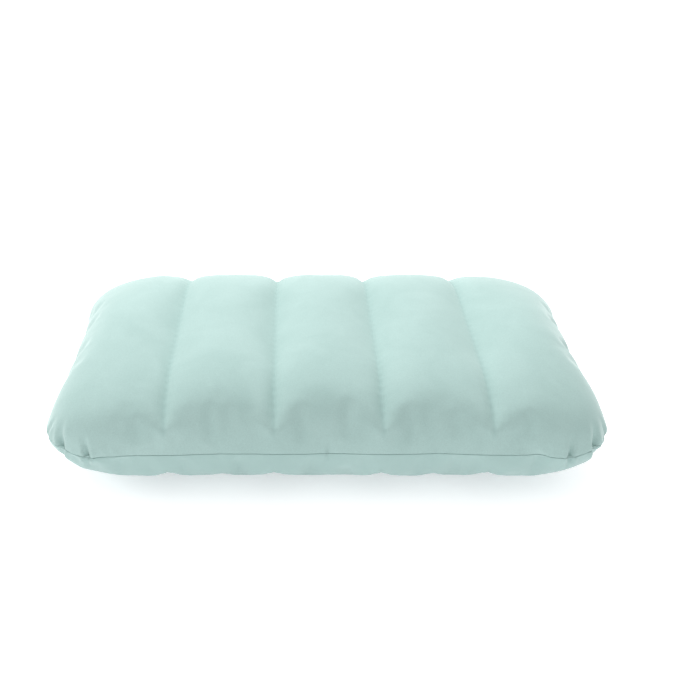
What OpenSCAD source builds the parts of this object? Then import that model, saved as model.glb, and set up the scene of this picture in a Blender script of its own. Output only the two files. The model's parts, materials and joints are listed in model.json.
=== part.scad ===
// Inflatable camp pillow: two sheets welded round the rim, held flat by four webs, with a
// push-in stem valve in the rear wall. Millimetres, +Z up, origin on the ground under the centre.

/* [Pillow] */
// Overall width of the inflated pillow, left to right
pillow_w = 430; // [400:5:460]
// Overall depth, front seam to rear seam
pillow_d = 265; // [250:5:290]
// Overall height, ground to the crest of a chamber
pillow_h = 95; // [84:1:100]
// Radius of the four corners in plan, measured at the seam
corner_r = 50; // [42:1:56]
// Depth over which the front and rear walls round over
wall_run = 56; // [50:1:60]
// Amount by which the pillow's own weight flattens each chamber on the ground
ground_flat = 1; // [0.6:0.1:1.6]

/* [Sheets] */
// Thickness of the vinyl sheets
sheet_t = 0.4; // [0.3:0.05:0.6]
// Width of the margin that is turned in and welded at the seam
seam_margin = 5; // [3:0.5:8]

/* [Webs] */
// Distance from one web to the next
web_pitch = 82; // [80:1:85]
// Depth of the valley over a web, below the crest of its chambers
valley_depth = 9.5; // [7:0.5:12]
// Width of the tape that welds a web to a sheet
tape_w = 8; // [6:1:10]
// Thickness of the tape
tape_t = 0.4; // [0.3:0.05:0.6]
// Thickness of a web
web_t = 0.35; // [0.25:0.05:0.5]
// Share of a valley's depth that is left where it reaches the front or rear seam
valley_end = 0.25; // [0:0.05:0.5]

/* [Valve] */
// Slope of the valve below the horizontal
valve_tilt = 35; // [30:1:40]
// Depth to which the sheet is flat under the flange
valve_flat = 2.4; // [2:0.1:3]
// Outer radius of the welded flange
flange_r = 14; // [13:0.5:15]
// Inner radius of the flange
flange_bore_r = 9.4; // [9.2:0.1:9.8]
// Outer radius of the stem
stem_r = 4.6; // [4.4:0.1:4.8]
// Radius of the air passage, which takes a pump's nozzle
passage_r = 3; // [2.6:0.1:3]
// Radius of the seat that the plug closes
seat_r = 3.4; // [3.4:0.05:3.5]
// Radius of the plug's head
head_r = 5.5; // [5.2:0.1:5.6]

/* [Hidden] */
$fn = 64;

flock = "#a9cbc5";
vinyl = "#a3c7c0";
milky = "#dfeae6";

half_w = pillow_w / 2;
half_d = pillow_d / 2;
half_h = (pillow_h + ground_flat) / 2;
mid_z = half_h - ground_flat;
side_run = half_w - 2 * web_pitch;

// Sampling of the sheets: steps across a chamber, down an end wall, round a wall and along the top
chamber_steps = 6;
side_steps = 6;
wall_steps = 7;
top_steps = 7;
// Steps of the wall that a web reaches into, past the flat of the top
web_steps = 4;

chord = web_pitch / 2 - tape_w / 2;
scallop_r = (chord * chord + valley_depth * valley_depth) / (2 * valley_depth);
web_half_l = half_d - wall_run + wall_run * sin(web_steps * 90 / wall_steps);

function ellipse(past, run) = past <= 0 ? 1 : sqrt(max(0, 1 - pow(past / run, 2)));
function smooth(t) = let (u = min(1, max(0, t))) u * u * (3 - 2 * u);
function backwards(list) = [for (i = [len(list) - 1:-1:0]) list[i]];

// Half the pillow's height and depth at a place along its width. An inset moves the skin inwards.
function crest(x, inset) =
    (half_h - inset) * ellipse(abs(x) - 2 * web_pitch, side_run - inset);
function reach(x, inset) =
    half_d - corner_r + (corner_r - inset) * ellipse(abs(x) - half_w + corner_r, corner_r - inset);

// How far the sheet lies below the crest, from the middle of a chamber to the weld of a web
function valley(x) =
    let (off = min(chord, abs(x - web_pitch * round(x / web_pitch))))
    abs(x) > 2 * web_pitch ? 0 : scallop_r - sqrt(scallop_r * scallop_r - off * off);
function valley_share(y) =
    1 - (1 - valley_end) * smooth((abs(y) - web_half_l) / (half_d - web_half_l));

// Places along the width: the end wall, its chamber's outer half, and the chambers between webs
function stations(inset) =
    let (
        wall = [for (i = [side_steps:-1:1])
            2 * web_pitch + (side_run - inset) * sin(90 * i / side_steps)],
        outer = [for (i = [0:chamber_steps / 2]) 2 * web_pitch - chord * 2 * i / chamber_steps],
        inner = [for (i = [0:chamber_steps]) web_pitch + chord * (1 - 2 * i / chamber_steps)],
        centre = [for (i = [0:chamber_steps]) chord * (1 - 2 * i / chamber_steps)],
        side = concat(wall, outer, inner)
    )
    concat([for (x = side) -x], backwards(centre), backwards(side));

// One section of the skin, front seam to rear seam, as [y, height above the seam]
function section(x, inset) =
    let (
        run = wall_run - inset,
        flat = reach(x, inset) - run,
        high = crest(x, inset),
        wall = [for (i = [0:wall_steps])
            [flat + run * cos(90 * i / wall_steps), high * sin(90 * i / wall_steps)]],
        top = [for (i = [1:top_steps - 1]) [flat * (2 * i / top_steps - 1), high]],
        line = concat([for (p = wall) [-p.x, p.y]], top, backwards(wall))
    )
    [for (p = line)
        [p.x, p.y - valley(x) * valley_share(p.x) * min(1, p.y / half_h)]];

// The valve's flat lies where the rear wall slopes by valve_tilt, in the second chamber from the right
valve_x = web_pitch;
valve_axis = [0, cos(valve_tilt), -sin(valve_tilt)];
valve_turn = atan(tan(valve_tilt) * half_h / wall_run);
valve_foot = [
    valve_x,
    half_d - wall_run + wall_run * cos(valve_turn),
    mid_z - half_h * sin(valve_turn)
] - valve_flat * valve_axis;

function flattened(p, inset) =
    let (proud = (p - valve_foot) * valve_axis + inset)
    proud > 0 && abs(p.x - valve_x) < web_pitch / 2 && p.y > 0 ? p - proud * valve_axis : p;

function skin_point(x, p, inset, side) =
    let (z = mid_z + side * max(inset, p.y))
    side > 0 ? [x, p.x, z] : flattened([x, p.x, max(inset, z)], inset);

function skin(inset, side) =
    [for (x = stations(inset)) for (p = section(x, inset)) skin_point(x, p, inset, side)];

function quad(a, b, c, d, flip) = flip ? [[a, b, c], [a, c, d]] : [[a, c, b], [a, d, c]];

// A sheet: outer and inner skins, and the seam margin that turns in between them
module panel(side) {
    n_x = len(stations(0));
    n_y = len(section(0, 0));
    n_skin = n_x * n_y;
    edge = concat(
        [for (i = [0:n_x - 1]) i * n_y],
        [for (j = [1:n_y - 1]) (n_x - 1) * n_y + j],
        [for (i = [n_x - 2:-1:0]) i * n_y + n_y - 1],
        [for (j = [n_y - 2:-1:1]) j]
    );
    n_edge = len(edge);
    hem_inset = sheet_t + seam_margin;
    hem_skin = [for (x = stations(hem_inset)) for (p = section(x, hem_inset)) [x, p.x]];
    hem_at = function (z) [for (e = edge) [hem_skin[e].x, hem_skin[e].y, mid_z + side * z]];
    flip = side > 0;
    faces = concat(
        [for (i = [0:n_x - 2]) for (j = [0:n_y - 2]) let (a = i * n_y + j)
            each quad(a, a + n_y, a + n_y + 1, a + 1, !flip)],
        [for (i = [0:n_x - 2]) for (j = [0:n_y - 2]) let (a = n_skin + i * n_y + j)
            each quad(a, a + n_y, a + n_y + 1, a + 1, flip)],
        [for (k = [0:n_edge - 1]) let (m = (k + 1) % n_edge, hem = 2 * n_skin, low = hem + n_edge)
            each concat(
                quad(n_skin + edge[k], n_skin + edge[m], hem + m, hem + k, !flip),
                quad(hem + k, hem + m, low + m, low + k, !flip),
                quad(low + k, low + m, edge[m], edge[k], !flip)
            )]
    );
    polyhedron(points = concat(skin(0, side), skin(sheet_t, side), hem_at(sheet_t), hem_at(0)),
               faces = faces);
}

module top_panel() {
    color(flock) panel(1);
}

module bottom_panel() {
    color(vinyl) difference() {
        panel(-1);
        at_valve() translate([0, 0, -hole_cut / 2])
            cylinder(h = hole_cut, r = flange_bore_r + hole_margin);
    }
}

// The underside of the top sheet over a web, as [y, height above the seam], lowered by drop
function weld_line(drop) =
    let (line = section(web_pitch / 2, sheet_t), first = wall_steps - web_steps)
    [for (i = [first:len(line) - 1 - first]) line[i] - [0, drop]];

// Lays out a drawing in the plane across the pillow's width, centred on web number n
module on_web(n, thick) {
    translate([(n - 2.5) * web_pitch - thick / 2, 0, mid_z])
        rotate([90, 0, 90]) linear_extrude(thick) children();
}

module web(n) {
    edge = weld_line(tape_t);
    color(milky) on_web(n, web_t)
        polygon(concat(edge, backwards([for (p = edge) [p.x, -p.y]])));
}

module tape(n, side) {
    color(milky) on_web(n, tape_w)
        scale([1, side]) polygon(concat(weld_line(0), backwards(weld_line(tape_t))));
}

// Valve. Local z = 0 is the sheet's outer face, and +z leaves the pillow
through = 1;
hole_cut = 6;
hole_margin = 0.9;
flange_t = 0.8;
rib_h = 0.3;
rib_w = 0.8;
rib_sink = 0.1;
rib_radii = [flange_r - 0.6, flange_r - 2.4];
rim_z = -0.7;
rim_t = 2;
seat_depth = 4.5;
passage_l = 10;
stem_end_z = rim_z - seat_depth - passage_l;
collar_z = -13;
collar_t = 1.2;
collar_r = stem_r + 0.6;
sleeve_t = 0.6;
sleeve_gap = 0.1;
strap_w = 3;
strap_t = 0.7;
// The strap's fold, as its distance from the stem's axis and its height
strap_fold = [8.2, 1.6];
strap_bevel = 0.8;
strap_fillet = 0.3;
// Height that the plug's end of the strap gains, and the length over which it is level at the fold
strap_rise = 1.3;
strap_level = 1.1;
bead_r = 0.35;
bead_gap = 0.1;
root_gap = 0.01;
root_depth = 1.6;
root_x = head_r - 0.6;
plug_gap = 0.1;
head_t = 1.4;
head_bevel = [0.8, 0.7];
prong_l = 4;
prong_tip_r = 1.7;
prong_gap = 0.1;
flap_r = 4;
flap_t = 0.4;
flap_gap = 0.1;
flap_hinge_y = -4.5;
flap_hinge_w = 3;
flap_hinge_l = 1.5;

module at_valve() {
    translate(valve_foot) rotate([-90 - valve_tilt, 0, 0]) children();
}

module ring(outer, inner, h) {
    difference() {
        cylinder(h = h, r = outer);
        translate([0, 0, -through]) cylinder(h = h + 2 * through, r = inner);
    }
}

module valve_flange() {
    color(vinyl) at_valve() {
        ring(flange_r, flange_bore_r, flange_t);
        for (r = rib_radii)
            translate([0, 0, flange_t - rib_sink]) ring(r, r - rib_w, rib_h + rib_sink);
    }
}

module valve_sleeve() {
    wide = flange_bore_r + sleeve_t;
    narrow = collar_r + sleeve_gap;
    color(vinyl) at_valve() rotate_extrude()
        polygon([
            [wide, 0], [flange_bore_r, 0], [narrow, collar_z + collar_t], [narrow, collar_z],
            [narrow + sleeve_t, collar_z], [narrow + sleeve_t, collar_z + collar_t]
        ]);
}

module valve_stem() {
    color(milky) at_valve() difference() {
        union() {
            translate([0, 0, stem_end_z]) cylinder(h = rim_z - stem_end_z, r = stem_r);
            translate([0, 0, collar_z]) cylinder(h = collar_t, r = collar_r);
            translate([0, 0, rim_z - rim_t]) cylinder(h = rim_t, r = head_r);
        }
        translate([0, 0, stem_end_z - through])
            cylinder(h = rim_z - stem_end_z + 2 * through, r = passage_r);
        translate([0, 0, rim_z - seat_depth]) cylinder(h = seat_depth + through, r = seat_r);
    }
}

// A flat band, strap_w wide, drawn from the side
module band(outline) {
    rotate([90, 0, 0]) translate([0, 0, -strap_w / 2]) linear_extrude(strap_w) polygon(outline);
}

// Cuts a strap's root to the round side that it is moulded to
module rooted() {
    difference() {
        children();
        translate([0, 0, rim_z - hole_cut / 2]) cylinder(h = hole_cut, r = head_r + root_gap);
    }
}

module strap_stem_end() {
    low = rim_z - root_depth;
    inner = strap_fold.x - strap_t / 2;
    outer = strap_fold.x + strap_t / 2;
    top = strap_fold.y - bead_r - bead_gap;
    bend = low + strap_t;
    color(milky) at_valve() rooted() band([
        [root_x, low], [outer - strap_bevel, low], [outer, low + strap_bevel], [outer, top],
        [inner, top], [inner, bend + strap_fillet], [inner - strap_fillet, bend], [root_x, bend]
    ]);
}

module strap_plug_end() {
    low = strap_fold.y - bead_r;
    high = strap_fold.y + bead_r;
    color(milky) at_valve() rooted() {
        band([
            [root_x, low - strap_rise], [strap_fold.x - strap_bevel, low], [strap_fold.x, low],
            [strap_fold.x, high], [strap_fold.x - strap_level, high], [root_x, high - strap_rise]
        ]);
        translate([strap_fold.x, strap_w / 2, strap_fold.y])
            rotate([90, 0, 0]) cylinder(h = strap_w, r = bead_r);
    }
}

module valve_plug() {
    head_z = rim_z + plug_gap;
    color(milky) at_valve() {
        translate([0, 0, head_z]) cylinder(h = head_t, r = head_r);
        translate([0, 0, head_z + head_t])
            cylinder(h = head_bevel.y, r1 = head_r, r2 = head_r - head_bevel.x);
        translate([0, 0, head_z - prong_l])
            cylinder(h = prong_l + plug_gap, r1 = prong_tip_r, r2 = seat_r - prong_gap);
    }
}

module check_flap() {
    color(milky) at_valve() translate([0, 0, stem_end_z - flap_gap - flap_t]) {
        cylinder(h = flap_t, r = flap_r);
        translate([-flap_hinge_w / 2, flap_hinge_y, 0]) cube([flap_hinge_w, flap_hinge_l, flap_t]);
        translate([-flap_hinge_w / 2, flap_hinge_y, flap_t / 2])
            rotate([0, 90, 0]) cylinder(h = flap_hinge_w, r = flap_t / 2);
    }
}

top_panel();
bottom_panel();
for (n = [1:4]) {
    web(n);
    tape(n, 1);
    tape(n, -1);
}
valve_flange();
valve_sleeve();
valve_stem();
strap_stem_end();
strap_plug_end();
valve_plug();
check_flap();
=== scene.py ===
"""Looks of an inflatable camp pillow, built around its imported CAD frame.

Metres. +X runs across the chambers, +Y to the rear seam, where the valve is, and +Z up.
The two sheets start as their flat cuts, with four webs folded flat between them, and a cloth
simulation blows them up. Every other piece is built on the sheets or on the CAD valve.
"""

import json
import math

import bmesh
import bpy
import numpy as np
from mathutils import Matrix, Vector
from mathutils.bvhtree import BVHTree
from mathutils.geometry import barycentric_transform, delaunay_2d_cdt


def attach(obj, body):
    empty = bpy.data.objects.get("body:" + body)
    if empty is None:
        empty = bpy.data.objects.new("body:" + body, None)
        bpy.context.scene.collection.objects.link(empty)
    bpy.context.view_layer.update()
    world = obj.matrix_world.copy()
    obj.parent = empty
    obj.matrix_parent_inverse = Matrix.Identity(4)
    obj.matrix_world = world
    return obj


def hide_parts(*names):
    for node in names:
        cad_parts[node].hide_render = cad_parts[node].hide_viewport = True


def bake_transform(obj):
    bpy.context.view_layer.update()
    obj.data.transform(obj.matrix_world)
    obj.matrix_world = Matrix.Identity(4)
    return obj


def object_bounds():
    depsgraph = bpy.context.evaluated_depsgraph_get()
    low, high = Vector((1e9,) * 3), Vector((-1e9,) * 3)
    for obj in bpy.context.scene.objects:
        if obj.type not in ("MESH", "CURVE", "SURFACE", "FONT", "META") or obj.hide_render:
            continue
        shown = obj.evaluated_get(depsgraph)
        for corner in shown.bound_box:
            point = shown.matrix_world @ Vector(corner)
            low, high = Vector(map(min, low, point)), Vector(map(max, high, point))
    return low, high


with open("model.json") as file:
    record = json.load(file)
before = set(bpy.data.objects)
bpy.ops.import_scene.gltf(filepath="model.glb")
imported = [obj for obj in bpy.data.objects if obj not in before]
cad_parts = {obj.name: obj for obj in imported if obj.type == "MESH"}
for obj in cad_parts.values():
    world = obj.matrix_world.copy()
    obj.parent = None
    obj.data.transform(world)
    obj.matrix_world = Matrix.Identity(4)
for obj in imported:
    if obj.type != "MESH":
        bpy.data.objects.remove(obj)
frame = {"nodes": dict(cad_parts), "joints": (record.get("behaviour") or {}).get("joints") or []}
cad_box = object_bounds()

# ---------------------------------------------------------------------------------- sizes

MM = 0.001

# The flat cut of a sheet, up to its seam. The sides bow out, so that they end up straight.
CUT_W, CUT_D = 469 * MM, 288 * MM
CUT_CORNER = 61 * MM
CORNER_POINTS = 33
CUT_BOW_X, CUT_BOW_Y = 10 * MM, -1.4 * MM
SEAM_MARGIN = 5 * MM

# The webs, as they are cut: how far apart, how high, and how much lower at their ends
WEBS = (-1.5, -0.5, 0.5, 1.5)
WEB_PITCH = 85.4 * MM
WEB_HEIGHT = 67 * MM
WEB_HALF_LENGTH = 128 * MM
WEB_TAPER_START = 75 * MM
WEB_TAPER = 0.5
TAPE_HALF_W = 4 * MM
TAPE_END = 14 * MM  # how far a web and its tapes stop short of the weld's end
WEB_LENGTH = 2 * (WEB_HALF_LENGTH - TAPE_END)

# Fine puckers take up the sheets' spare length round the seam, most of all at the corners:
# by how much, and how far in from the seam
GATHER, CORNER_GATHER = 0.08, 0.17
GATHER_RUN = 34 * MM
BELOW_GATHER = 0.5  # the bottom sheet's share of them
SINK = 1 * MM  # how far the pillow settles under its own weight

# The lattice of the sheets: steps from one web to the next, and, in steps, how far apart the
# points of the rim are and how near to it the inner points come
LATTICE = 12
RIM_STEP, RIM_CLEAR = 0.95, 0.55

# The cloth simulation, which runs at ten times the real size, where Blender's Cloth works best
SIM_SCALE = 10
SIM_FRAMES = 24
PRESSURE = 10

# Before the inflation the sheets lie this far from the seam's plane, or less near the seam
GAP, GAP_SLOPE = 2 * MM, 0.05
# Where the points of a folded web lie between its two welds, as shares of its height
WEB_ROWS = (0.02, 0.5, 0.98)


def smooth(t):
    t = np.clip(t, 0, 1)
    return t * t * (3 - 2 * t)


# ------------------------------------------------------------------------------ the flat cut


def cut_outline(step):
    """The seam line of the flat cut, as points about step apart, anticlockwise."""
    w, d, r = CUT_W / 2, CUT_D / 2, CUT_CORNER
    line = []
    for quarter, (sx, sy) in enumerate(((1, -1), (1, 1), (-1, 1), (-1, -1))):
        for a in np.radians(np.linspace(-90, 0, CORNER_POINTS) + 90 * quarter):
            line.append((sx * (w - r) + r * math.cos(a), sy * (d - r) + r * math.sin(a)))
    line = spaced(np.array(line + line[:1]), step / 4)
    x, y = line[:, 0], line[:, 1]
    bowed = np.stack(
        [x * (1 + CUT_BOW_X / w * (1 - (y / d) ** 2)), y * (1 + CUT_BOW_Y / d * (1 - (x / w) ** 2))],
        axis=1,
    )
    return spaced(bowed, step)[:-1]


def spaced(line, step):
    """The same line with points evenly spaced, about step apart."""
    along = np.concatenate([[0], np.cumsum(np.linalg.norm(np.diff(line, axis=0), axis=1))])
    at = np.linspace(0, along[-1], round(along[-1] / step) + 1)
    return np.stack([np.interp(at, along, line[:, k]) for k in range(2)], axis=1)


def inset(points, outline):
    """How far each point lies inside the outline. It is negative outside."""
    a, b = outline, np.roll(outline, -1, axis=0)
    d = b - a
    result = np.empty(len(points))
    for i, p in enumerate(points):
        t = np.clip(((p - a) * d).sum(1) / (d * d).sum(1), 0, 1)
        near = np.linalg.norm(a + t[:, None] * d - p, axis=1).min()
        crossed = (a[:, 1] > p[1]) != (b[:, 1] > p[1])
        at = a[:, 0] + d[:, 0] * (p[1] - a[:, 1]) / np.where(crossed, d[:, 1], 1)
        result[i] = near if (crossed & (p[0] < at)).sum() % 2 else -near
    return result


def flat_lattice():
    """The flat cut as equilateral triangles: (points, how many of them are the rim, triangles).

    Columns of points lie along Y, and every LATTICE-th pair of columns is a web's weld line.
    """
    across = WEB_PITCH / LATTICE
    along = across * 2 / math.sqrt(3)
    rim = cut_outline(RIM_STEP * along)
    columns = range(-int(CUT_W / across), int(CUT_W / across) + 1)
    rows = range(-int(CUT_D / along), int(CUT_D / along) + 1)
    inner = np.array([(i * across, (j + i % 2 / 2) * along) for i in columns for j in rows])
    reach = np.array([CUT_W / 2 + CUT_BOW_X, CUT_D / 2 + CUT_BOW_Y])
    inner = inner[(np.abs(inner) < reach).all(1)]
    inner = inner[inset(inner, rim) > RIM_CLEAR * along]
    points = np.concatenate([rim, inner])
    edges = [(i, (i + 1) % len(rim)) for i in range(len(rim))]
    found = delaunay_2d_cdt([Vector(p) for p in points], edges, [], 1, 1e-6)
    points = np.array([tuple(p) for p in found[0]])
    a, b, c = (points[[f[k] for f in found[2]]] for k in range(3))
    turns = (b[:, 0] - a[:, 0]) * (c[:, 1] - a[:, 1]) - (b[:, 1] - a[:, 1]) * (c[:, 0] - a[:, 0])
    triangles = [f if t > 0 else (f[0], f[2], f[1]) for f, t in zip(found[2], turns)]
    return points, len(rim), np.array(triangles)


def web_height(v):
    """The cut height of a web at a place along its length."""
    past = (abs(v) - WEB_TAPER_START) / (WEB_HALF_LENGTH - WEB_TAPER_START)
    return WEB_HEIGHT * (1 - WEB_TAPER * np.clip(past, 0, 1) ** 1.5)


# ---------------------------------------------------------------------------- the inflation


def inflate(flat, rim_count, triangles):
    """Blows the bag up from its flat cut.

    Returns the points of the top sheet and of the bottom sheet, and a grid of points for each web.
    """
    n = len(flat)
    bottom = np.arange(n)
    bottom[rim_count:] += n - rim_count
    sheets = 2 * n - rim_count
    inside = inset(flat, flat[:rim_count]).clip(0)
    gap = np.minimum(GAP, GAP_SLOPE * inside)
    points = np.zeros((sheets, 3))
    points[:n] = np.column_stack([flat, gap])
    points[bottom[rim_count:]] = np.column_stack([flat, -gap])[rim_count:]
    faces = [tuple(t) for t in triangles] + [tuple(bottom[t[::-1]]) for t in triangles]
    webs = []
    for place in WEBS:
        on_line = abs(flat[:, 0] - place * WEB_PITCH) < 1e-6
        line = np.flatnonzero(on_line & (abs(flat[:, 1]) <= WEB_HALF_LENGTH))
        line = line[np.argsort(flat[line, 1])]
        away = math.copysign(1, place)
        rows = [line]
        for share in WEB_ROWS:
            x = flat[line, 0] + away * min(share, 1 - share) * web_height(flat[line, 1])
            z = (1 - 2 * share) * gap[line]
            rows.append(len(points) + np.arange(len(line)))
            points = np.concatenate([points, np.column_stack([x, flat[line, 1], z])])
        rows.append(bottom[line])
        for upper, lower in zip(rows, rows[1:]):
            for k in range(len(line) - 1):
                face = (upper[k], upper[k + 1], lower[k + 1], lower[k])
                faces.append(face if place < 0 else face[::-1])
        webs.append(np.array(rows))
    gathered = np.zeros(sheets)
    at_corner = smooth(4 * abs(flat[:, 0]) / CUT_W - 1) * smooth(4 * abs(flat[:, 1]) / CUT_D - 1)
    share = (GATHER + (CORNER_GATHER - GATHER) * at_corner) / CORNER_GATHER
    gathered[:n] = share * (1 - smooth(inside / GATHER_RUN))
    gathered[bottom[rim_count:]] = BELOW_GATHER * gathered[rim_count:n]
    blown = simulate(points, faces, gathered)
    return blown[:n], blown[bottom], [blown[w] for w in webs]


def simulate(points, faces, gathered):
    """Runs Blender's Cloth with air pressure on the first of the points, those of the sheets.

    gathered says how much of the puckering near the seam each of those points gets, from 0 to 1.
    """
    mesh = bpy.data.meshes.new("bag")
    mesh.from_pydata((points * SIM_SCALE).tolist(), [], [[int(i) for i in f] for f in faces])
    bag = bpy.data.objects.new("bag", mesh)
    bpy.context.scene.collection.objects.link(bag)
    bag.vertex_groups.new(name="blown").add(list(range(len(gathered))), 1, "REPLACE")
    rim_group = bag.vertex_groups.new(name="gathered")
    for i, weight in enumerate(gathered):
        rim_group.add([i], weight, "REPLACE")
    cloth = bag.modifiers.new("cloth", "CLOTH")
    s = cloth.settings
    s.quality = 8
    s.mass = 0.05
    s.air_damping = 2
    s.tension_stiffness, s.compression_stiffness, s.shear_stiffness = 80, 20, 5
    s.bending_stiffness = 0.5
    s.use_pressure = True
    s.uniform_pressure_force = PRESSURE
    s.vertex_group_pressure = "blown"
    s.vertex_group_shrink = "gathered"
    s.shrink_min, s.shrink_max = 0, CORNER_GATHER
    s.effector_weights.gravity = 0
    cloth.collision_settings.use_collision = False
    cloth.point_cache.frame_start, cloth.point_cache.frame_end = 1, SIM_FRAMES
    for f in range(1, SIM_FRAMES + 1):
        bpy.context.scene.frame_set(f)
    shown = bag.evaluated_get(bpy.context.evaluated_depsgraph_get())
    result = np.array([v.co for v in shown.data.vertices]) / SIM_SCALE
    bpy.data.objects.remove(bag)
    bpy.data.meshes.remove(mesh)
    bpy.context.scene.frame_set(1)
    return result


flat, RIM, triangles = flat_lattice()
top, bottom, webs = inflate(flat, RIM, triangles)

both = np.concatenate([top, bottom])
low, high = both.min(0), both.max(0)
box_low, box_high = (np.array(corner) for corner in cad_box)
box_low = box_low - [0, 0, SINK]


def placed(p):
    """Brings points of the inflated bag to the CAD model's box, and lets them settle on the ground."""
    p = box_low + (p - low) * (box_high - box_low) / (high - low)
    settled = SINK * np.exp(np.minimum(p[..., 2] / SINK - 1, 0))
    p[..., 2] = np.where(p[..., 2] < SINK, settled, p[..., 2])
    return p


top, bottom, webs = placed(top), placed(bottom), [placed(w) for w in webs]

# ------------------------------------------------------------------------------- the valve


def valve_frame():
    """The valve's own frame: local Z leads out of the pillow, and local X is +X.

    Its origin is on the sheet's face at the middle of the flange.
    """
    out = Vector(next(j for j in frame["joints"] if j["name"] == "stem_pull")["axis"]).normalized()
    side = Vector((1, 0, 0))
    down = out.cross(side)
    ring = [v.co for v in frame["nodes"]["valve_flange"].data.vertices]

    def middle(d):
        return (min(v.dot(d) for v in ring) + max(v.dot(d) for v in ring)) / 2

    origin = side * middle(side) + down * middle(down) + out * min(v.dot(out) for v in ring)
    turn = Matrix((side, down, out)).transposed().to_4x4()
    return Matrix.Translation(origin) @ turn


VALVE = valve_frame()
FLANGE_R = 14 * MM
LAND_R, LAND_FADE_R, LAND_DEPTH = 16 * MM, 34 * MM, 20 * MM
HOLE_R = 10.8 * MM
HOLE_REACH = 4 * MM  # how far from the flange's plane the hole takes sheet away
FLANGE_GAP = 0.1 * MM  # between the flange and the sheet under it


def on_land(p):
    """Draws the sheet onto the flange's flat underside, near the valve."""
    local = (p - np.array(VALVE.translation)) @ np.array(VALVE.to_3x3())
    r = np.hypot(local[:, 0], local[:, 1])
    near = 1 - smooth((r - LAND_R) / (LAND_FADE_R - LAND_R))
    near = np.where(local[:, 2] > -LAND_DEPTH, near, 0)
    out = np.array(VALVE.to_3x3())[:, 2]
    return p - out * ((local[:, 2] + FLANGE_GAP) * near)[:, None]


bottom = on_land(bottom)

# ------------------------------------------------------------------------------- mesh tools


def new_object(name, points, faces, body, replaced=()):
    mesh = bpy.data.meshes.new(name)
    mesh.from_pydata([tuple(p) for p in points], [], [[int(i) for i in f] for f in faces])
    mesh.validate()
    mesh.shade_smooth()
    piece = bpy.data.objects.new(name, mesh)
    bpy.context.scene.collection.objects.link(piece)
    if body:
        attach(piece, body)
    if replaced:
        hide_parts(*replaced)
    return piece


def apply_modifiers(piece):
    shown = piece.evaluated_get(bpy.context.evaluated_depsgraph_get())
    old, new = piece.data, bpy.data.meshes.new_from_object(shown)
    piece.modifiers.clear()
    piece.data = new
    new.name = old.name
    bpy.data.meshes.remove(old)


def refine(piece, levels=1):
    s = piece.modifiers.new("refine", "SUBSURF")
    s.levels = s.render_levels = levels
    s.boundary_smooth = "ALL"
    apply_modifiers(piece)


# ------------------------------------------------------------------------------- the sheets

# The lip, where a sheet turns in to its seam: (outwards, away from the seam) for each ring
LIP = ((0.0, 0.45), (-0.2, 0.2), (-1.0, 0.1), (-3.0, 0.1), (-SEAM_MARGIN / MM, 0.1))


def rim_frames():
    """For each point of the rim: its place, the way out, and the way up along the top sheet."""
    rim = top[:RIM]
    along = np.roll(rim, -1, axis=0) - np.roll(rim, 1, axis=0)
    along /= np.linalg.norm(along, axis=1)[:, None]
    out = np.cross(along, [0, 0, 1])
    out /= np.linalg.norm(out, axis=1)[:, None]
    return rim, out, np.cross(out, along)


def sheet(name, points, side, node):
    """A sheet of the bag, with its lip. side is 1 for the top sheet and -1 for the bottom one."""
    n = len(points)
    rim, out, up = rim_frames()
    points = points.copy()
    rings = [rim + (out * o + up * (u * side)) * MM for o, u in LIP]
    points[:RIM] = rings[0]
    faces = [tuple(t) if side > 0 else tuple(t[::-1]) for t in triangles]
    before = np.arange(RIM)
    for ring in rings[1:]:
        after = len(points) + np.arange(RIM)
        points = np.concatenate([points, ring])
        for k in range(RIM):
            m = (k + 1) % RIM
            quad = (before[m], before[k], after[k], after[m])
            faces.append(quad if side > 0 else quad[::-1])
        before = after
    piece = new_object(name, points, faces, "pillow", [node])
    uv = np.concatenate([flat] + [flat[:RIM]] * (len(LIP) - 1))
    layer = piece.data.attributes.new("cut", "FLOAT2", "POINT")
    layer.data.foreach_set("vector", uv.astype(np.float32).ravel())
    inward = np.zeros(len(points), np.float32)
    inward[n:] = 1
    piece.data.attributes.new("lip", "FLOAT", "POINT").data.foreach_set("value", inward)
    refine(piece, 2)
    return piece


def cut_of(piece):
    """The flat cut's coordinates of each point of a sheet."""
    layer = piece.data.attributes["cut"]
    cut = np.zeros(len(piece.data.vertices) * 2, np.float32)
    layer.data.foreach_get("vector", cut)
    return cut.reshape(-1, 2).astype(float)


# A weld line's mark: its half width and depth, and how it fades towards its ends
WELD_HALF_W, WELD_DEPTH = 1.6 * MM, 0.5 * MM
WELD_FADE_START, WELD_FADE = 4 * MM, 6 * MM


def weld_marks(piece):
    """Presses the weld line of each web into a sheet. The attribute weld says how strongly, and the
    materials darken the sheet by it as painted shade in the weld creases.
    """
    cut = cut_of(piece)
    weld = np.zeros(len(cut))
    for place in WEBS:
        off = abs(cut[:, 0] - place * WEB_PITCH)
        ends = 1 - smooth((abs(cut[:, 1]) - WEB_HALF_LENGTH + WELD_FADE_START) / WELD_FADE)
        weld = np.maximum(weld, np.exp(-((off / WELD_HALF_W) ** 2)) * ends)
    mesh = piece.data
    co = np.array([v.co for v in mesh.vertices])
    normal = np.array([v.normal for v in mesh.vertices])
    co -= normal * (weld * WELD_DEPTH)[:, None]
    mesh.vertices.foreach_set("co", co.astype(np.float32).ravel())
    layer = mesh.attributes.new("weld", "FLOAT", "POINT")
    layer.data.foreach_set("value", weld.astype(np.float32))
    mesh.update()


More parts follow.
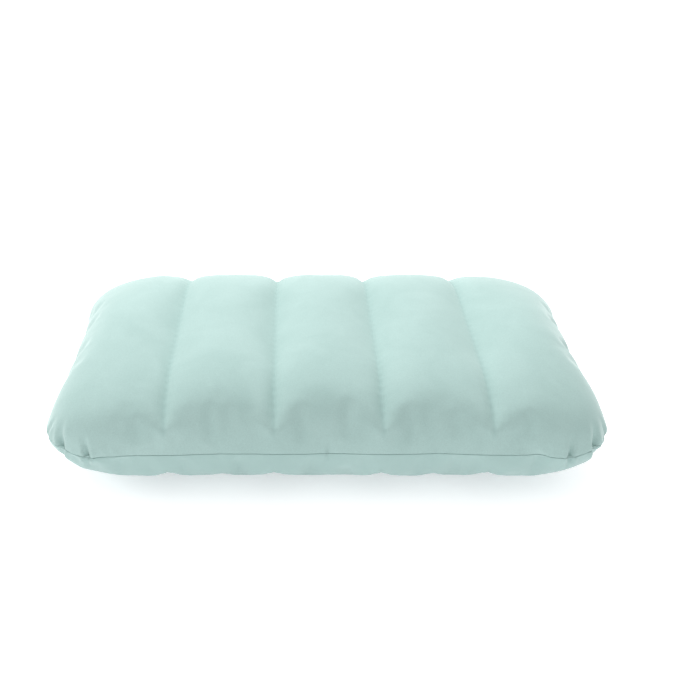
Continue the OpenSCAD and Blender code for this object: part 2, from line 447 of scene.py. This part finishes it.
# Puckers across the seam, in the first quarter of the cut: (u, v) near the root on the seam,
# the way in, how far in, half width and depth, in millimetres
PUCKERS = [
    (0, -144, 0, 1, 17, 1.4, 0.9),
    (85, -144, 0, 1, 14, 1.8, 0.45),
    (150, -143, 0.05, 1, 13, 1.8, 0.4),
    (172, -143, 0.1, 1, 14, 2.0, 0.6),
    (192, -141, -0.1, 1, 22, 2.1, 3.0),
    (219, -127, -0.5, 1, 28, 3.0, 3.2),
    (231, -104, -1, 0.35, 18, 2.2, 0.9),
    (238, -75, -1, 0.05, 14, 1.8, 0.35),
    (242, -38, -1, 0, 12, 1.8, 0.3),
    (244, 0, -1, 0, 12, 1.8, 0.3),
]
# The shoulders beside a pucker: their height as a share of its depth, and how far out they and
# the pucker's edge lie, in half widths
SHOULDER, SHOULDER_AT, PUCKER_EDGE = 0.35, 2.2, 6


def pucker(piece):
    """Presses the puckers into a sheet, with a low shoulder on both sides of each."""
    cut = cut_of(piece)
    mesh = piece.data
    co = np.array([v.co for v in mesh.vertices])
    normal = np.array([v.normal for v in mesh.vertices])
    lip = np.array([d.value for d in mesh.attributes["lip"].data])
    push = np.zeros(len(cut))
    for u, v, du, dv, run, width, depth in PUCKERS:
        flips_x = (1, -1) if u else (1,)
        flips_y = (1, -1) if v else (1,)
        for sx, sy in ((a, b) for a in flips_x for b in flips_y):
            way = np.array([sx * du, sy * dv]) / math.hypot(du, dv)
            off = cut - np.array([sx * u, sy * v]) * MM
            along = off @ way
            across = (off[:, 0] * way[1] - off[:, 1] * way[0]) / (width * MM)
            fade = 1 - smooth(along / (run * MM))
            groove = np.exp(-(across**2)) - SHOULDER * np.exp(-((abs(across) - SHOULDER_AT) ** 2))
            push += groove * fade * depth * MM * (abs(across) < PUCKER_EDGE)
    co -= normal * (push * (1 - lip).clip(0, 1))[:, None]
    mesh.vertices.foreach_set("co", co.astype(np.float32).ravel())
    mesh.update()


top_sheet = sheet("top_sheet", top, 1, "top_panel")
bottom_sheet = sheet("bottom_sheet", bottom, -1, "bottom_panel")
for piece in (top_sheet, bottom_sheet):
    weld_marks(piece)
    pucker(piece)


def cut_valve_hole(piece):
    """Takes out what lies inside the flange, and draws the edge into a circle."""
    local = VALVE.inverted()
    mesh = bmesh.new()
    mesh.from_mesh(piece.data)

    def radius(p):
        q = local @ p
        return math.hypot(q.x, q.y) if abs(q.z) < HOLE_REACH else math.inf

    gone = [f for f in mesh.faces if radius(f.calc_center_median()) < HOLE_R]
    bmesh.ops.delete(mesh, geom=gone, context="FACES")
    for v in mesh.verts:
        if v.is_boundary and radius(v.co) < FLANGE_R:
            q = local @ v.co
            r = math.hypot(q.x, q.y)
            v.co = VALVE @ Vector((q.x * HOLE_R / r, q.y * HOLE_R / r, -FLANGE_GAP))
    mesh.to_mesh(piece.data)
    mesh.free()


cut_valve_hole(bottom_sheet)

# ------------------------------------------------------------------------ webs and tapes

flat_tree = BVHTree.FromPolygons(
    [(x, y, 0) for x, y in flat], [[int(i) for i in t] for t in triangles]
)
FILM_T = 0.35 * MM
TAPE_DEPTH = 1.8 * MM  # from the sheet's face to the middle of a tape
TAPE_POINTS_ACROSS, TAPE_POINTS_ALONG = 5, 90
WEB_DEPTH = 2.2 * MM  # from the sheet's face to a web's edge
WEB_SPARE = 2  # points of the simulated web that are left out at each end


def on_sheet(points, u, v, depth):
    """The place on a sheet that has these flat cut coordinates, at a depth under its face."""
    spot = Vector((u, v, 0))
    corners = [int(i) for i in triangles[flat_tree.find_nearest(spot)[2]]]
    a, b, c = (Vector(points[i]) for i in corners)
    here = barycentric_transform(spot, *(Vector((*flat[i], 0)) for i in corners), a, b, c)
    normal = (b - a).cross(c - a).normalized()
    inward = normal if points is bottom else -normal
    return here + inward * depth


def grid_faces(rows, columns):
    return [
        (r * columns + c, r * columns + c + 1, (r + 1) * columns + c + 1, (r + 1) * columns + c)
        for r in range(rows - 1)
        for c in range(columns - 1)
    ]


def tape(name, points, place, node):
    """The tape that welds a web to a sheet: a strip under the weld line."""
    across = np.linspace(-TAPE_HALF_W, TAPE_HALF_W, TAPE_POINTS_ACROSS)
    along = np.linspace(-WEB_LENGTH / 2, WEB_LENGTH / 2, TAPE_POINTS_ALONG)
    grid = [on_sheet(points, place * WEB_PITCH + s, v, TAPE_DEPTH) for v in along for s in across]
    return thick_film(name, grid, grid_faces(len(along), len(across)), node)


def thick_film(name, points, faces, node):
    piece = new_object(name, points, faces, "pillow", [node])
    film = piece.modifiers.new("film", "SOLIDIFY")
    film.thickness = FILM_T
    film.offset = 0
    apply_modifiers(piece)
    return piece


def web(name, grid, node):
    """A web, as the simulation left it, between the two tapes."""
    rows = grid[:, WEB_SPARE:-WEB_SPARE].copy()
    span = rows[-1] - rows[0]
    span /= np.linalg.norm(span, axis=1)[:, None]
    rows[0] += span * WEB_DEPTH
    rows[-1] -= span * WEB_DEPTH
    rows[1] = (rows[0] + rows[2]) / 2
    rows[3] = (rows[2] + rows[4]) / 2
    return thick_film(name, rows.reshape(-1, 3), grid_faces(len(rows), rows.shape[1]), node)


films = []
for i, place in enumerate(WEBS):
    films.append(web(f"web_film_{i + 1}", webs[i], f"web_{i + 1}"))
    films.append(tape(f"top_weld_tape_{i + 1}", top, place, f"top_tape_{i + 1}"))
    films.append(tape(f"bottom_weld_tape_{i + 1}", bottom, place, f"bottom_tape_{i + 1}"))

# -------------------------------------------------------------------------- valve pieces


def lathe(name, profile, body, replaced, steps=96):
    """A closed profile of (radius, height) in millimetres, turned about the valve's axis."""
    points, count = [], len(profile)
    for k in range(steps):
        a = 2 * math.pi * k / steps
        c, s = math.cos(a), math.sin(a)
        points += [VALVE @ (Vector((r * c, r * s, z)) * MM) for r, z in profile]
    faces = []
    for k in range(steps):
        for i in range(count):
            j, m = (i + 1) % count, (k + 1) % steps
            faces.append((k * count + i, m * count + i, m * count + j, k * count + j))
    piece = new_object(name, points, faces, body, replaced)
    mesh = bmesh.new()
    mesh.from_mesh(piece.data)
    bmesh.ops.remove_doubles(mesh, verts=mesh.verts, dist=1e-6)
    bmesh.ops.recalc_face_normals(mesh, faces=mesh.faces)
    mesh.to_mesh(piece.data)
    mesh.free()
    return piece


def rounded(corners, steps=4):
    """A closed outline whose corners, (x, y, radius), are rounded off."""
    line, n = [], len(corners)
    for i, (x, y, r) in enumerate(corners):
        here = Vector((x, y))
        if r == 0:
            line.append((x, y))
            continue
        a, b = Vector(corners[i - 1][:2]) - here, Vector(corners[(i + 1) % n][:2]) - here
        a, b = a.normalized() * r, b.normalized() * r
        for t in np.linspace(0, 1, steps + 1):
            p = here + a * (1 - t) ** 2 + b * t**2
            line.append((p.x, p.y))
    return line


# The valve's radii, and its heights over the sheet's face, in millimetres
BORE_R, HEAD_R, COLLAR_R, STEM_R, SEAT_R, PASSAGE_R = 9.4, 5.5, 5.2, 4.6, 3.4, 3.0
FACE_Z, RIB_Z = 0.7, 1.1
RIM_Z, SEAT_Z, COLLAR_Z, STEM_END_Z = -0.7, -5.2, -13.0, -15.2
RIM_T, COLLAR_T, SLEEVE_T = 2.0, 1.2, 0.5
RIBS = (11.6, 13.0)

# Outlines of the valve's pieces: (radius, height, how much the corner is rounded)


def rib(r):
    """A raised ring of the flange."""
    return [(r - 0.5, FACE_Z, 0.1), (r - 0.3, RIB_Z, 0.2), (r + 0.3, RIB_Z, 0.2), (r + 0.5, FACE_Z, 0.1)]


flange_outline = rounded(
    [(BORE_R, 0.0, 0.15), (BORE_R, 1.0, 0.3), (BORE_R + 0.9, 1.0, 0.3), (BORE_R + 1.2, FACE_Z, 0.1)]
    + [corner for r in RIBS for corner in rib(r)]
    + [(FLANGE_R / MM - 0.2, 0.6, 0.2), (FLANGE_R / MM, 0.0, 0.0)]
)
flange = lathe("flange", flange_outline, "pillow", ["valve_flange"])


def sleeve_outline():
    """The sleeve narrows from the flange's bore to the stem's collar."""
    wide, narrow = BORE_R + SLEEVE_T, COLLAR_R + 0.4
    high, low = 0.4, COLLAR_Z + 0.2
    along = np.linspace(0, 1, 24)
    outer = [(wide + (narrow - wide) * float(smooth(t)), high + (low - high) * t) for t in along]
    return outer + [(r - SLEEVE_T, z) for r, z in reversed(outer)]


sleeve = lathe("rolling_sleeve", sleeve_outline(), None, ["valve_sleeve"])

stem_outline = rounded(
    [
        (SEAT_R, RIM_Z, 0.15), (HEAD_R, RIM_Z, 0.4),
        (HEAD_R, RIM_Z - RIM_T, 0.4), (STEM_R, RIM_Z - RIM_T, 0.3),
        (STEM_R, COLLAR_Z + COLLAR_T, 0.2), (COLLAR_R, COLLAR_Z + COLLAR_T, 0.2),
        (COLLAR_R, COLLAR_Z, 0.2), (STEM_R, COLLAR_Z, 0.2),
        (STEM_R, STEM_END_Z, 0.3), (PASSAGE_R, STEM_END_Z, 0.1),
        (PASSAGE_R, SEAT_Z, 0.0), (SEAT_R, SEAT_Z, 0.0),
    ]
)
stem = lathe("stem_tube", stem_outline, "stem", ["valve_stem"])

plug_outline = rounded(
    [
        (0.0, -4.2, 0), (1.2, -4.6, 0.3), (1.7, -4.4, 0.3), (3.1, -1.2, 0.2), (3.3, -0.6, 0.1),
        (HEAD_R, -0.6, 0.3), (HEAD_R, 0.6, 0.3), (5.1, 1.3, 0.3), (4.2, 1.5, 0.3), (3.6, 1.2, 0.3),
        (1.2, 1.1, 0.3), (0.0, 1.1, 0),
    ]
)
plug = lathe("plug_cap", plug_outline, "plug", ["valve_plug"])

STRAP_SIDES = 8
STRAP_HALF_W = 1.5


def strap():
    """The strap between stem and plug: one band that folds at the plug's hinge."""
    path = [
        (5.2, -1.95), (6.2, -1.95), (7.2, -1.9), (7.8, -1.6), (8.1, -1.0), (8.2, -0.2), (8.2, 0.6),
        (8.15, 1.1), (7.95, 1.5), (7.6, 1.6), (7.1, 1.45), (6.4, 1.05), (5.8, 0.7), (5.2, 0.35),
    ]
    path = [Vector((x, z)) for x, z in path]
    points, faces = [], []
    for i, p in enumerate(path):
        along = (path[min(i + 1, len(path) - 1)] - path[max(i - 1, 0)]).normalized()
        normal = Vector((-along.y, along.x))
        # The strap is thinnest just past its fold
        thick = 0.22 + 0.13 * abs(2 * i / (len(path) - 1) - 1.25)
        for k in range(STRAP_SIDES):
            a = 2 * math.pi * (k + 0.5) / STRAP_SIDES
            q = p + normal * (thick * math.copysign(min(1, abs(math.sin(a)) * 1.3), math.sin(a)))
            y = STRAP_HALF_W * math.copysign(min(1, abs(math.cos(a)) * 1.1), math.cos(a))
            points.append(VALVE @ (Vector((q.x, y, q.y)) * MM))
    for i in range(len(path) - 1):
        low, high = i * STRAP_SIDES, (i + 1) * STRAP_SIDES
        for k in range(STRAP_SIDES):
            m = (k + 1) % STRAP_SIDES
            faces.append((low + k, low + m, high + m, high + k))
    faces.append(tuple(range(STRAP_SIDES))[::-1])
    faces.append(tuple(range(len(points) - STRAP_SIDES, len(points))))
    nodes = ["strap_stem_end", "strap_plug_end"]
    piece = new_object("tether_strap", points, faces, None, nodes)
    refine(piece)
    return piece


tether = strap()


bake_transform(sleeve)
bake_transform(tether)

# ------------------------------------------------------------------------------ materials


class Material:
    """A Principled material, with short calls for the nodes that vary it."""

    def __init__(self, name, roughness, **constants):
        self.material = bpy.data.materials.new(name)
        self.material.use_nodes = True
        self.tree = self.material.node_tree
        self.shader = self.tree.nodes["Principled BSDF"]
        self.shader.inputs["Roughness"].default_value = roughness
        for socket, value in constants.items():
            self.shader.inputs[socket.replace("_", " ")].default_value = value
        self.where = self.node("ShaderNodeTexCoord").outputs["Object"]

    def node(self, kind, inputs=None, **settings):
        n = self.tree.nodes.new(kind)
        for key, value in settings.items():
            setattr(n, key, value)
        for key, value in (inputs or {}).items():
            if isinstance(value, bpy.types.NodeSocket):
                self.tree.links.new(value, n.inputs[key])
            else:
                n.inputs[key].default_value = value
        return n

    def noise(self, size, detail=3, roughness=0.5, distortion=0.0):
        """Noise whose blotches are about that many metres across."""
        inputs = {"Vector": self.where, "Scale": 1 / size, "Detail": detail}
        inputs.update({"Roughness": roughness, "Distortion": distortion})
        return self.node("ShaderNodeTexNoise", inputs).outputs["Fac"]

    def cells(self, size):
        inputs = {"Vector": self.where, "Scale": 1 / size}
        return self.node("ShaderNodeTexVoronoi", inputs).outputs["Distance"]

    def attribute(self, name):
        return self.node("ShaderNodeAttribute", attribute_name=name).outputs["Fac"]

    def ramp(self, fac, low, high, at=(0.3, 0.7)):
        n = self.node("ShaderNodeValToRGB", {"Fac": fac})
        for stop, position, colour in zip(n.color_ramp.elements, at, (low, high)):
            stop.position = position
            stop.color = (*colour, 1)
        return n.outputs["Color"]

    def between(self, fac, low, high):
        """A number from low to high as fac goes from 0 to 1."""
        inputs = {"Value": fac, "To Min": low, "To Max": high}
        return self.node("ShaderNodeMapRange", inputs).outputs["Result"]

    def mix(self, fac, a, b, blend="MIX"):
        n = self.node("ShaderNodeMix", data_type="RGBA", blend_type=blend)
        for socket, value in ((n.inputs[0], fac), (n.inputs[6], a), (n.inputs[7], b)):
            if isinstance(value, bpy.types.NodeSocket):
                self.tree.links.new(value, socket)
            else:
                socket.default_value = value
        return n.outputs[2]

    def colour(self, value):
        self.tree.links.new(value, self.shader.inputs["Base Color"])

    def roughness(self, value):
        self.tree.links.new(value, self.shader.inputs["Roughness"])

    def bump(self, layers):
        """Bumps on top of each other: (height from 0 to 1, how high in metres)."""
        normal = None
        for height, distance in layers:
            inputs = {"Height": height, "Distance": distance, "Strength": 1.0}
            if normal is not None:
                inputs["Normal"] = normal
            normal = self.node("ShaderNodeBump", inputs).outputs["Normal"]
        self.tree.links.new(normal, self.shader.inputs["Normal"])

    def on(self, *pieces):
        for piece in pieces:
            piece.data.materials.clear()
            piece.data.materials.append(self.material)


def flock():
    """Short mint flock: matt, with a nap that catches light at a slant."""
    m = Material("flock", 0.85, Sheen_Weight=0.5, Sheen_Roughness=0.4, Specular_IOR_Level=0.2)
    m.shader.inputs["Sheen Tint"].default_value = (0.93, 1.0, 0.98, 1)
    nap = m.ramp(m.noise(38 * MM, 3, 0.55, 0.6), (0.357, 0.507, 0.481), (0.391, 0.545, 0.519))
    fibre = m.ramp(m.noise(0.9 * MM, 2, 0.7), (0.90, 0.90, 0.90), (1.0, 1.0, 1.0))
    # Painted shade: the flock's colour turns darker along the weld creases, as strongly as the attribute
    # weld says
    weld_shaded = m.mix(m.attribute("weld"), m.mix(1.0, nap, fibre, "MULTIPLY"), (0.335, 0.48, 0.457, 1))
    m.colour(weld_shaded)
    m.roughness(m.between(m.noise(6 * MM), 0.78, 0.94))
    slack = (m.noise(30 * MM, 2), 0.35 * MM)
    tufts = (m.noise(3.2 * MM, 3), 0.08 * MM)
    fibres = (m.noise(0.8 * MM, 2, 0.7), 0.06 * MM)
    m.bump([slack, tufts, fibres])
    return m


def vinyl():
    """Plain mint vinyl with a fine embossed grain."""
    m = Material("vinyl", 0.6, Specular_IOR_Level=0.35, Sheen_Weight=0.12, Sheen_Roughness=0.5)
    tone = m.ramp(m.noise(45 * MM, 3), (0.322, 0.470, 0.445), (0.347, 0.497, 0.472))
    # Painted shade: the vinyl's colour turns darker along the weld creases, as strongly as the attribute
    # weld says
    m.colour(m.mix(m.attribute("weld"), tone, (0.30, 0.445, 0.42, 1)))
    m.roughness(m.between(m.noise(9 * MM), 0.52, 0.70))
    m.bump([(m.noise(26 * MM, 2), 0.25 * MM), (m.cells(1.1 * MM), 0.05 * MM)])
    return m


def film():
    """Thin milky film, faintly streaked by its making."""
    m = Material("film", 0.45, Specular_IOR_Level=0.4)
    m.colour(m.ramp(m.noise(8 * MM, 3), (0.60, 0.70, 0.67), (0.70, 0.78, 0.75)))
    m.roughness(m.between(m.noise(4 * MM), 0.38, 0.55))
    m.bump([(m.noise(2 * MM, 2), 0.03 * MM)])
    return m


def soft_moulding(name, low, high):
    """Smooth soft vinyl of the valve, slightly hazy and scuffed."""
    m = Material(name, 0.4, Specular_IOR_Level=0.5, Subsurface_Weight=0.15, Subsurface_Scale=1.5 * MM)
    m.shader.inputs["Subsurface Radius"].default_value = (1.0, 1.0, 1.0)
    m.colour(m.ramp(m.noise(5 * MM, 3), low, high))
    m.roughness(m.between(m.noise(1.8 * MM, 4), 0.32, 0.5))
    m.bump([(m.noise(1.2 * MM, 3), 0.02 * MM)])
    return m


flock().on(top_sheet)
vinyl().on(bottom_sheet)
film().on(*films)
soft_moulding("valve_base", (0.345, 0.525, 0.485), (0.375, 0.555, 0.515)).on(flange, sleeve)
soft_moulding("valve_moulding", (0.47, 0.56, 0.54), (0.53, 0.61, 0.59)).on(
    stem, plug, tether, frame["nodes"]["check_flap"]
)

# ------------------------------------------------------------------- floor, light, camera

FLOOR_REACH = 6
# The lamps: name, place, size in metres and power in watts. Each points at the origin.
LAMPS = [("key", (-0.25, 1.15, 1.15), 0.8, 22), ("left", (-1.5, -0.2, 0.8), 0.6, 4)]


def studio():
    """A floor of paper that glows faintly as painted fill light, an even white surround and two soft
    lamps.
    """
    square = ((-1, -1), (1, -1), (1, 1), (-1, 1))
    corners = [(x * FLOOR_REACH, y * FLOOR_REACH, 0) for x, y in square]
    floor = new_object("floor", corners, [(0, 1, 2, 3)], None)
    # Painted light: the paper glows faintly, which pales the pillow's shadow on it and lights the pillow
    # from below; the glow's pinkish tint keeps that shadow from turning green
    paper = Material("paper", 0.95, Specular_IOR_Level=0.0, Emission_Strength=0.38)
    paper.shader.inputs["Emission Color"].default_value = (1.0, 0.92, 0.96, 1)
    paper.colour(paper.ramp(paper.noise(0.5), (0.93, 0.93, 0.935), (0.95, 0.95, 0.955)))
    paper.on(floor)
    world = bpy.data.worlds.new("studio")
    world.use_nodes = True
    surround = world.node_tree.nodes["Background"]
    surround.inputs["Color"].default_value = (1, 1, 1, 1)
    surround.inputs["Strength"].default_value = 0.88
    bpy.context.scene.world = world
    for name, place, size, power in LAMPS:
        lamp = bpy.data.lights.new(name, "AREA")
        lamp.energy, lamp.size = power, size
        light = bpy.data.objects.new(name, lamp)
        light.location = place
        light.rotation_euler = (-Vector(place)).to_track_quat("-Z", "Y").to_euler()
        bpy.context.scene.collection.objects.link(light)
    bpy.context.scene.view_settings.view_transform = "Standard"


def camera():
    """The photograph's viewing angle: level with the pillow's front, from above."""
    lens, shift, pitch = 49.258, 0.08457, 0.5217
    view = bpy.data.cameras.new("camera")
    view.sensor_width = 36
    view.lens = lens
    view.shift_x = shift
    seen = bpy.data.objects.new("camera", view)
    seen.location = (-27.5 * MM, -696.8 * MM, 463.0 * MM)
    seen.rotation_euler = (math.pi / 2 - pitch, 0, 0)
    bpy.context.scene.collection.objects.link(seen)
    bpy.context.scene.camera = seen


studio()
camera()
